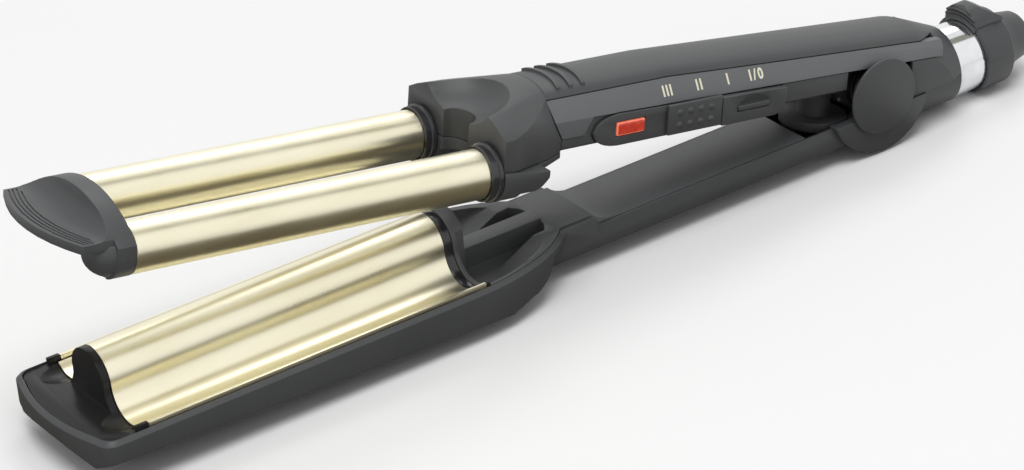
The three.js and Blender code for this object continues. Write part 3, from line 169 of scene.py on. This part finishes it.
for name, place, half_size, colour in cards:
    card_mesh = bmesh.new()
    bmesh.ops.create_grid(card_mesh, x_segments=1, y_segments=1, size=1)
    bmesh.ops.scale(card_mesh, vec=(*half_size, 1), verts=card_mesh.verts)
    bmesh.ops.translate(card_mesh, vec=place, verts=card_mesh.verts)
    dull, _ = finish(name, {"Base Color": colour, "Roughness": 1.0, "Specular IOR Level": 0.0})
    card = show(card_mesh, name, dull)
    card.visible_camera = False
    card.visible_diffuse = False
    card.visible_shadow = False
    card.visible_transmission = False


# Heated barrels: thin aluminium tubes with a satin champagne gold coat, turned and drawn, then
# clamped between the head and the tip cap.
def keep(mesh, name, body, nodes, material, place=None, crease=32):
    """Finish a piece: put it in its place, smooth it up to a crease, hang it on its body, and hide the
    parts it stands for.
    """
    if place is not None:
        mesh.transform(place)
    bmesh.ops.remove_doubles(mesh, verts=mesh.verts, dist=1e-7)
    bmesh.ops.recalc_face_normals(mesh, faces=mesh.faces)
    for face in mesh.faces:
        face.smooth = True
    for edge in mesh.edges:
        edge.smooth = edge.calc_face_angle(0) < radians(crease)
    piece = show(mesh, name, material)
    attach(piece, body)
    if nodes:
        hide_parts(*nodes)


def turned(profile, steps, centre):
    """Turn a closed profile once round an axis that runs along the arms."""
    mesh = bmesh.new()
    points = [mesh.verts.new(point) for point in profile]
    edges = [mesh.edges.new(pair) for pair in zip(points, points[1:] + points[:1])]
    bmesh.ops.spin(mesh, geom=points + edges, cent=centre, axis=(1, 0, 0), angle=2 * pi,
                   steps=steps, use_merge=True)
    return mesh


def feed(material, sockets):
    shader = material.node_tree.nodes["Principled BSDF"]
    for socket, wire in sockets.items():
        material.node_tree.links.new(wire.socket, shader.inputs[socket])


def noise(paint, place, scale, detail, settings=None):
    sockets = {"Vector": place, "Scale": scale, "Detail": detail, **(settings or {})}
    return paint.node("TexNoise", {}, sockets, "Fac")


def ramp(paint, factor, low, high):
    """Colour from low to high. Each of them is a position on the factor and the colour there."""
    return paint.node("ValToRGB", {"stops": (low, high)}, {"Fac": factor})


gold, paint = finish("champagne_gold_coat", {"Metallic": 1.0})
place = paint.node("TexCoord", {}, {}, "Object")
stretched = paint.node("Mapping", {}, {"Vector": place, "Scale": (12, 420, 420)})
streaks = noise(paint, stretched, 1.0, 3.0)
clouds = noise(paint, place, 45.0, 2.0)
flakes = noise(paint, place, 5200.0, 1.0)
colour = ramp(paint, streaks * 0.5 + clouds * 0.5, (0.3, (0.86, 0.80, 0.59)), (0.7, (0.94, 0.90, 0.71)))
bump = paint.node("Bump", {}, {"Strength": 0.12, "Distance": 0.00006, "Height": flakes + streaks * 0.6})
feed(gold, {"Base Color": colour, "Roughness": streaks * 0.1 + clouds * 0.08 + 0.21, "Normal": bump})

# Sizes are in millimetres from the hinge axis. The upper arm is drawn as if the arms were closed,
# and then turned open with its body.
open_angle = radians(9.6)
upper = Matrix.Translation(hinge) @ Matrix.Rotation(open_angle, 4, "Y") @ Matrix.Scale(0.001, 4)
barrel_radius = 7.5
barrel_bore = 6.5
barrel_spread = 17.25
barrel_height = 3.0
barrel_front = -272.3
barrel_rear = -147.0
barrel_edge = 0.15
barrel_steps = 128
barrel_profile = (
    (barrel_front, barrel_bore),
    (barrel_front, barrel_radius - barrel_edge),
    (barrel_front + barrel_edge, barrel_radius),
    (barrel_rear, barrel_radius),
    (barrel_rear, barrel_bore),
)
for label, side in (("near", -1), ("far", 1)):
    middle = (0, side * barrel_spread, barrel_height)
    outline = [(x, side * barrel_spread, barrel_height + radius) for x, radius in barrel_profile]
    keep(turned(outline, barrel_steps, middle), f"barrel_{label}_tube", "upper_arm",
         [f"barrel_{label}"], gold, upper)


# Barrel collars: glossy heat-proof rings with a step and a rounded rim, moulded in one and pushed
# over the barrels against the head.
def gloss_plastic(name, colour, polish=0.12, shine=0.5):
    material, paint = finish(name, {"Coat Weight": shine * 0.4, "Coat Roughness": polish,
                                    "Specular IOR Level": shine})
    place = paint.node("TexCoord", {}, {}, "Object")
    haze = noise(paint, place, 90.0, 4.0)
    dust = noise(paint, place, 2400.0, 2.0)
    colour = ramp(paint, haze, (0.25, colour), (0.8, tuple(c * 1.25 for c in colour)))
    bump = paint.node("Bump", {}, {"Strength": 0.08, "Distance": 0.00004, "Height": dust})
    feed(material, {"Base Color": colour, "Roughness": haze * 0.16 + dust * 0.05 + polish,
                    "Normal": bump})
    return material


black_gloss = gloss_plastic("glossy_black_plastic", (0.022, 0.022, 0.025))
ring_bore = 7.8
ring_radius = 8.35
rim_radius = 8.95
ring_front = -155.0
ring_step = -152.85
ring_rear = -151.3
ring_steps = 96
ring_profile = (
    (ring_front, ring_bore),
    (ring_front, ring_radius - 0.25),
    (ring_front + 0.3, ring_radius),
    (ring_step, ring_radius),
    (ring_step + 0.15, ring_radius + 0.2),
    (ring_step + 0.25, rim_radius - 0.1),
    (ring_step + 0.55, rim_radius),
    (ring_rear - 0.3, rim_radius),
    (ring_rear, rim_radius - 0.2),
    (ring_rear, ring_bore),
)
for label, side in (("near", -1), ("far", 1)):
    middle = (0, side * barrel_spread, barrel_height)
    outline = [(x, side * barrel_spread, barrel_height + radius) for x, radius in ring_profile]
    keep(turned(outline, ring_steps, middle), f"barrel_{label}_ring", "upper_arm",
         [f"barrel_collar_{label}"], black_gloss, upper)

# Wave plate: one aluminium sheet rolled into two channels and a ridge between them, coated as the
# barrels are. It is held by its edges in the tray of the lower arm.
lower = Matrix.Translation(hinge) @ Matrix.Scale(0.001, 4)
channel_radius = 8.3
plate_edge_height = -3.0
plate_thickness = 1.2
plate_front = -273.7
plate_rear = -160.7
channel_steps = 48
ridge_steps = 56
edge_angle = asin((barrel_height - plate_edge_height) / channel_radius)
sheet = bmesh.new()
vert = sheet.verts.new((plate_front, -barrel_spread - channel_radius * cos(edge_angle), plate_edge_height))
for centre_y, turn, steps in (
        (-barrel_spread, pi - edge_angle, channel_steps),
        (0, -pi, ridge_steps),
        (barrel_spread, pi - edge_angle, channel_steps)):
    grown = bmesh.ops.spin(sheet, geom=[vert], cent=(0, centre_y, barrel_height), axis=(1, 0, 0),
                           angle=turn, steps=steps)
    vert = grown["geom_last"][0]
grown = bmesh.ops.extrude_edge_only(sheet, edges=sheet.edges[:])
bmesh.ops.translate(sheet, vec=(plate_rear - plate_front, 0, 0),
                    verts=[v for v in grown["geom"] if isinstance(v, bmesh.types.BMVert)])
# The open sheet's faces have to look up, so that its wall grows downwards.
bmesh.ops.recalc_face_normals(sheet, faces=sheet.faces)
if sum(face.normal.z for face in sheet.faces) < 0:
    bmesh.ops.reverse_faces(sheet, faces=sheet.faces)
bmesh.ops.solidify(sheet, geom=sheet.faces[:], thickness=plate_thickness)
keep(sheet, "wave_plate_sheet", "lower_arm", ["wave_plate"], gold, lower, crease=40)


# Casings, caps and covers of both arms: dark grey ABS mouldings with a fine spark-eroded texture,
# closed round the works inside with clips and a few screws.
def moulded_plastic(name, colour, sheen=0.36, grain=1.0):
    """Grained plastic, worn a little smoother along its edges, with a painted highlight that makes them
    paler.
    """
    material, paint = finish(name, {"Specular IOR Level": 0.5})
    place = paint.node("TexCoord", {}, {}, "Object")
    fine = noise(paint, place, 2600.0, 3.0, {"Roughness": 0.65})
    soft = noise(paint, place, 38.0, 3.0)
    rounded = paint.node("Bevel", {"samples": 4}, {"Radius": 0.00025})
    true_normal = paint.node("NewGeometry", {}, {}, "Normal")
    turn = paint.node("VectorMath", {"operation": "DOT_PRODUCT"}, {0: rounded, 1: true_normal}, "Value")
    edge_band = paint.node("MapRange", {}, {"Value": turn, "From Min": 0.99, "From Max": 0.86,
                                       "To Min": 0.0, "To Max": 1.0})
    # Along the edges the colour turns paler as a painted highlight, for the light that rounded edges
    # catch. The plastic is also smoother there, as where it is worn.
    edge_wear_and_highlight = edge_band * fine
    body = ramp(paint, fine * 0.45 + soft * 0.55, (0.25, tuple(c * 0.86 for c in colour)),
                (0.75, tuple(c * 1.12 for c in colour)))
    pale = tuple(c * 2.1 + 0.01 for c in colour)
    colour = paint.node("Mix", {"data_type": "RGBA"}, {0: edge_wear_and_highlight * 0.7, 6: body, 7: (*pale, 1)}, 2)
    bump = paint.node("Bump", {}, {"Strength": 0.22 * grain, "Distance": 0.00005, "Height": fine,
                                   "Normal": rounded})
    feed(material, {"Base Color": colour, "Roughness": fine * 0.12 + soft * 0.1 - edge_wear_and_highlight * 0.08 + sheen,
                    "Normal": bump})
    return material


def moulding(node, body, material, round_by=0.25, steps=2, crease=28):
    """The solid's own shape, with its flat faces joined and its corners rounded as in a mould."""
    mesh = bmesh.new()
    mesh.from_mesh(frame["nodes"][node].data)
    bmesh.ops.remove_doubles(mesh, verts=mesh.verts, dist=2e-6)
    bmesh.ops.recalc_face_normals(mesh, faces=mesh.faces)
    bmesh.ops.dissolve_limit(mesh, angle_limit=radians(0.6), verts=mesh.verts, edges=mesh.edges)
    corners = [edge for edge in mesh.edges
               if edge.is_manifold and edge.calc_face_angle(0) > radians(crease)]
    if corners:
        bmesh.ops.bevel(mesh, geom=corners, offset=round_by / 1000, offset_type="OFFSET",
                        segments=steps, profile=0.5, affect="EDGES", clamp_overlap=True, material=-1)
    keep(mesh, f"{node}_moulding", body, [node], material, crease=crease)


dark_plastic = moulded_plastic("dark_grey_plastic", (0.052, 0.054, 0.056))
casing_round = 0.4
casing_round_steps = 3
casings = {
    "lower_casing": "lower_arm",
    "end_cap": "lower_arm",
    "lock_collar": "collar",
    "hinge_disc_near": "lower_arm",
    "hinge_disc_far": "lower_arm",
    "upper_shell": "upper_arm",
    "handle_bottom_shell": "upper_arm",
    "head_housing": "upper_arm",
    "head_lower_cover": "upper_arm",
    "tip_cap": "upper_arm",
    "switch_bezel": "upper_arm",
}
for node, body in casings.items():
    moulding(node, body, dark_plastic, casing_round, casing_round_steps)

# Neck cover: the long grip pad on the lower arm, moulded in the same plastic with a coarser leather
# grain, and screwed to the casing from above.
pad_plastic = moulded_plastic("pad_plastic", (0.088, 0.091, 0.094), sheen=0.42, grain=2.4)
moulding("neck_cover", "lower_arm", pad_plastic)

# Side panels: strips of a paler, smoother grade of the same plastic, let into both sides of the
# handle and held by clips.
panel_plastic = moulded_plastic("side_panel_plastic", (0.115, 0.121, 0.126), sheen=0.30, grain=0.6)
for node in ("side_panel_near", "side_panel_far"):
    moulding(node, "upper_arm", panel_plastic)


# Temperature slider: a bevelled key with eight domed dots for the finger, moulded in one with the
# stem that pushes the switch behind it.
def block(mesh, low, high, round_by=0.0, steps=3):
    """A box between two corners, with rounded edges."""
    made = bmesh.ops.create_cube(mesh, size=1)["verts"]
    bmesh.ops.scale(mesh, vec=[b - a for a, b in zip(low, high)], verts=made)
    bmesh.ops.translate(mesh, vec=[(a + b) / 2 for a, b in zip(low, high)], verts=made)
    if round_by:
        edges = list(dict.fromkeys(edge for vert in made for edge in vert.link_edges))
        bmesh.ops.bevel(mesh, geom=edges, offset=round_by, offset_type="OFFSET", segments=steps,
                        profile=0.5, affect="EDGES", material=-1)


control_height = 7.0
control_face = -17.1
key_front = -85.3
key_length = 20.3
key_half_height = 4.8
key_thickness = 1.3
key_round = 0.35
stem_half_length = 4.0
stem_half_height = 1.7
stem_depth = 4.5
stem_sink = 0.5
dot_columns = 4
dot_rows = 2
dot_radius = 1.05
dot_rise = 0.5
dot_pitch = 4.0
key_middle = key_front + key_length / 2
key = bmesh.new()
block(key, (key_front, control_face, control_height - key_half_height),
      (key_front + key_length, control_face + key_thickness, control_height + key_half_height), key_round)
block(key, (key_middle - stem_half_length, control_face + stem_sink, control_height - stem_half_height),
      (key_middle + stem_half_length, control_face + stem_depth, control_height + stem_half_height))
for column in range(dot_columns):
    for row in range(dot_rows):
        dot = (key_middle + (column - (dot_columns - 1) / 2) * dot_pitch, control_face,
               control_height + (row - (dot_rows - 1) / 2) * dot_pitch)
        dome = Matrix.Translation(dot) @ Matrix.Diagonal((dot_radius, dot_rise, dot_radius, 1))
        bmesh.ops.create_uvsphere(key, u_segments=32, v_segments=16, radius=1, matrix=dome)
keep(key, "temperature_slider_key", "slider", ["temperature_slider"],
     dark_plastic, upper, crease=40)

# Seam lips: thin ribs moulded inside the head's two front corners, which overlap the seam between
# its housing and its cover.
lip_front = -150.8
lip_rear = -146.4
lip_side = 24.95
lip_half_thickness = 0.15
lip_low = 4.7
lip_high = 5.9
lips = bmesh.new()
for side in (-1, 1):
    block(lips, (lip_front, side * lip_side - lip_half_thickness, lip_low),
          (lip_rear, side * lip_side + lip_half_thickness, lip_high))
keep(lips, "head_seam_lips", "upper_arm", [], dark_plastic, upper)

# Centre rib: a thin upright wall moulded along the middle of the hollow handle. It stiffens the
# shells and keeps light from passing from the seams of one side to those of the other.
rib_thickness = 0.8
rib_foot = 2.6
rib_top = 19.0
rib_profile = ((-131.0, 6.5), (-124.0, rib_foot), (-30.0, rib_foot), (-30.0, 16.6), (-82.0, rib_top),
               (-131.0, rib_top))
rib = bmesh.new()
rib_side = rib.faces.new([rib.verts.new((x, -rib_thickness / 2, z)) for x, z in rib_profile])
grown = bmesh.ops.extrude_face_region(rib, geom=[rib_side])
bmesh.ops.translate(rib, vec=(0, rib_thickness, 0),
                    verts=[v for v in grown["geom"] if isinstance(v, bmesh.types.BMVert)])
keep(rib, "handle_centre_rib", "upper_arm", [], dark_plastic, upper)

# Power button: a half-round finger dish with a raised bar across its foot, moulded in one and held
# behind the bezel by its own edge.
button_middle = -52.8
button_radius = 6.0
dish_face = control_face + 0.1
dish_height = 3.0
dish_depth = 1.0
dish_wall = 0.4
bar_foot = control_height - 1.4
bar_height = 1.7
bar_rise = 0.3
bar_depth = 1.9
bar_round = 0.3
button = bmesh.new()
bmesh.ops.create_uvsphere(
    button, u_segments=64, v_segments=32, radius=1,
    matrix=Matrix.Translation((button_middle, dish_face, control_height))
    @ Matrix.Diagonal((button_radius, dish_depth, dish_height, 1)))
for cut, away in (((0, dish_face, 0), (0, -1, 0)), ((0, 0, control_height), (0, 0, -1))):
    bmesh.ops.bisect_plane(button, geom=button.verts[:] + button.edges[:] + button.faces[:],
                           plane_co=cut, plane_no=away, clear_outer=True)
bmesh.ops.solidify(button, geom=button.faces[:], thickness=-dish_wall)
block(button, (button_middle - button_radius, control_face - bar_rise, bar_foot),
      (button_middle + button_radius, control_face + bar_depth, bar_foot + bar_height), bar_round)
keep(button, "power_button_cap", "button", ["power_button"], dark_plastic,
     upper, crease=40)

# Scale beside the slider: strokes pad-printed on the side panel in cream ink, for three heat steps
# and the on-off mark.
cream_ink, paint = finish("cream_ink", {})
speck = noise(paint, paint.node("TexCoord", {}, {}, "Object"), 3500.0, 2.0)
ink_colour = ramp(paint, speck, (0.3, (0.70, 0.66, 0.47)), (0.6, (0.86, 0.83, 0.66)))
feed(cream_ink, {"Base Color": ink_colour, "Roughness": speck * 0.2 + 0.35})
ink_size = 3.973
ink_swell = 0.14
ink_lift = 0.03
marks = (
    ("three", "III", 1.2, -83.5, 14.95),
    ("two", "II", 1.25, -71.4, 14.8),
    ("one", "I", 1.0, -60.4, 14.7),
    ("power", "I/0", 1.35, -49.5, 14.4),
)
panel_mesh = bmesh.new()
panel_mesh.from_mesh(frame["nodes"]["side_panel_near"].data)
panel_mesh.transform(upper.inverted())
panel_face = BVHTree.FromBMesh(panel_mesh)
panel_mesh.free()
for name, letters, spacing, mark_middle, mark_height in marks:
    text = bpy.data.curves.new(name, "FONT")
    text.body = letters
    text.size = ink_size
    text.offset = ink_swell
    text.space_character = spacing
    text.align_x = "CENTER"
    text.align_y = "CENTER"
    flat_letters = bpy.data.meshes.new_from_object(bpy.data.objects.new(name, text))
    print_mesh = bmesh.new()
    print_mesh.from_mesh(flat_letters)
    bmesh.ops.triangulate(print_mesh, faces=print_mesh.faces)
    bmesh.ops.subdivide_edges(print_mesh, edges=print_mesh.edges, cuts=2)
    for vert in print_mesh.verts:
        before_the_panel = Vector((mark_middle + vert.co.x, -60, mark_height + vert.co.y))
        hit = panel_face.ray_cast(before_the_panel, Vector((0, 1, 0)))[0]
        vert.co = hit - Vector((0, ink_lift, 0))
    keep(print_mesh, f"heat_mark_{name}", "upper_arm", [], cream_ink, upper, crease=60)

# Black inserts: the satin nose cap and the rail plugs that close the front of the tray, the
# polished seal behind the plate, the cord's swivel housing and stub, and the two switches.
satin_black = gloss_plastic("satin_black_plastic", (0.014, 0.014, 0.015), polish=0.22, shine=0.18)
for node in ("nose_cap", "rail_plug_near", "rail_plug_far"):
    moulding(node, "lower_arm", satin_black)
for node in ("plate_seal", "swivel_housing", "rear_stub"):
    moulding(node, "lower_arm", black_gloss)
for node in ("slide_switch", "push_switch"):
    moulding(node, "upper_arm", black_gloss)

# Side rails: narrow strips of the plate's coated aluminium, which clamp both long edges of the
# plate in the tray.
for node in ("side_rail_near", "side_rail_far"):
    moulding(node, "lower_arm", gold, round_by=0.15)

# Chrome sleeve: a plated tube pushed over the stub at the rear of the handle. The lock collar
# slides on it.
chrome, paint = finish("polished_chrome", {"Metallic": 1.0})
smudge = noise(paint, paint.node("TexCoord", {}, {}, "Object"), 160.0, 4.0)
chrome_colour = ramp(paint, smudge, (0.3, (0.72, 0.73, 0.75)), (0.7, (0.86, 0.87, 0.88)))
feed(chrome, {"Base Color": chrome_colour, "Roughness": smudge * 0.1 + 0.07})
moulding("chrome_sleeve", "lower_arm", chrome, round_by=0.2)

# Rubber pieces: the bumper under the handle, pressed into its hole, and the cord inlet, which turns
# in the rear cap.
rubber, paint = finish("black_rubber", {"Sheen Weight": 0.1})
place = paint.node("TexCoord", {}, {}, "Object")
bloom = noise(paint, place, 140.0, 4.0)
pores = noise(paint, place, 3000.0, 2.0)
rubber_colour = ramp(paint, bloom, (0.3, (0.016, 0.016, 0.017)), (0.75, (0.034, 0.034, 0.036)))
rubber_bump = paint.node("Bump", {}, {"Strength": 0.25, "Distance": 0.00006, "Height": pores})
feed(rubber, {"Base Color": rubber_colour, "Roughness": bloom * 0.15 + 0.6, "Normal": rubber_bump})
moulding("rubber_bumper", "upper_arm", rubber, round_by=0.4)
moulding("cord_inlet", "inlet", rubber, round_by=0.3)


# Lamp lens: clear red plastic, a raised pillow in a paler rim, pressed into the bezel in front of the
# lamp. The pillow glows a little and the paler rim glows more. This is a painted glow for the lamp's light
# that shows through the lens and leaks past its edge.
def red_plastic(name, deep, pale, painted_glow):
    material, paint = finish(name, {"Coat Weight": 0.5, "Coat Roughness": 0.06,
                                    "Emission Strength": painted_glow})
    cloud = noise(paint, paint.node("TexCoord", {}, {}, "Object"), 520.0, 2.0)
    colour = ramp(paint, cloud, (0.3, deep), (0.7, pale))
    feed(material, {"Base Color": colour, "Emission Color": colour, "Roughness": cloud * 0.15 + 0.14})
    return material


# The glow of the lens and of its rim is painted light, and so is the rim's paler colour.
red_lens = red_plastic("red_lens_plastic", (0.42, 0.022, 0.010), (0.60, 0.05, 0.02), painted_glow=0.12)
red_rim = red_plastic("red_rim_plastic", (0.78, 0.16, 0.09), (0.90, 0.24, 0.14), painted_glow=0.3)
lens_front = -103.5
lens_rear = -93.3
lens_half_height = 2.05
lens_face = -16.25
bezel_face = -15.6
pillow_inset = 0.35
pillow_depth = 1.5
pillow_round = 0.4
rim_overlap = 0.1
rim_rise = 0.3
rim_depth = 1.4
rim_round = 0.55
lens_round_steps = 4
pillow = bmesh.new()
block(pillow, (lens_front + pillow_inset, lens_face, control_height - lens_half_height + pillow_inset),
      (lens_rear - pillow_inset, bezel_face + pillow_depth,
       control_height + lens_half_height - pillow_inset), pillow_round, lens_round_steps)
keep(pillow, "led_lens_pillow", "upper_arm", ["led_lens"], red_lens, upper, crease=50)
rim = bmesh.new()
block(rim, (lens_front - rim_overlap, bezel_face - rim_rise,
            control_height - lens_half_height - rim_overlap),
      (lens_rear + rim_overlap, bezel_face + rim_depth,
       control_height + lens_half_height + rim_overlap), rim_round, lens_round_steps)
keep(rim, "led_lens_rim", "upper_arm", [], red_rim, upper, crease=50)
moulding("led_lamp", "upper_arm", red_lens, round_by=0.2)


# Works inside: turned steel screws and axle, a blued spring, extruded aluminium heater bars, fired
# ceramic strips and the circuit board. Their solids are shown as they are.
def bare_metal(name, colour, rough):
    material, paint = finish(name, {"Metallic": 1.0})
    brushed = noise(paint, paint.node("TexCoord", {}, {}, "Object"), 1800.0, 3.0)
    shade = ramp(paint, brushed, (0.3, tuple(c * 0.85 for c in colour)), (0.7, colour))
    feed(material, {"Base Color": shade, "Roughness": brushed * 0.2 + rough})
    return material


steel = bare_metal("plain_steel", (0.6, 0.6, 0.58), rough=0.25)
spring_steel = bare_metal("blued_spring_steel", (0.16, 0.16, 0.18), rough=0.3)
aluminium = bare_metal("bare_aluminium", (0.74, 0.74, 0.75), rough=0.3)
ceramic, paint = finish("fired_ceramic", {})
fired = noise(paint, paint.node("TexCoord", {}, {}, "Object"), 700.0, 4.0)
ceramic_colour = ramp(paint, fired, (0.3, (0.78, 0.74, 0.66)), (0.7, (0.88, 0.85, 0.78)))
feed(ceramic, {"Base Color": ceramic_colour, "Roughness": fired * 0.2 + 0.6})
board, paint = finish("green_board", {})
place = paint.node("TexCoord", {}, {}, "Object")
tracks = paint.node("TexVoronoi", {"feature": "DISTANCE_TO_EDGE"}, {"Vector": place, "Scale": 260.0},
                    "Distance")
board_colour = ramp(paint, tracks, (0.05, (0.30, 0.24, 0.08)), (0.1, (0.03, 0.14, 0.06)))
feed(board, {"Base Color": board_colour, "Roughness": tracks * 0.3 + 0.35})
inside = (
    (spring_steel, ("torsion_spring",)),
    (steel, ("hinge_axle", "neck_screw_front", "neck_screw_rear", "tip_screw_near", "tip_screw_far",
             "heater_clip")),
    (aluminium, ("heat_spreader", "heater_core_near", "heater_core_far")),
    (ceramic, ("plate_heater", "heater_carrier", "barrel_heater_near", "barrel_heater_far")),
    (board, ("circuit_board",)),
)
for material, nodes in inside:
    for node in nodes:
        for slot in frame["nodes"][node].material_slots:
            slot.material = material
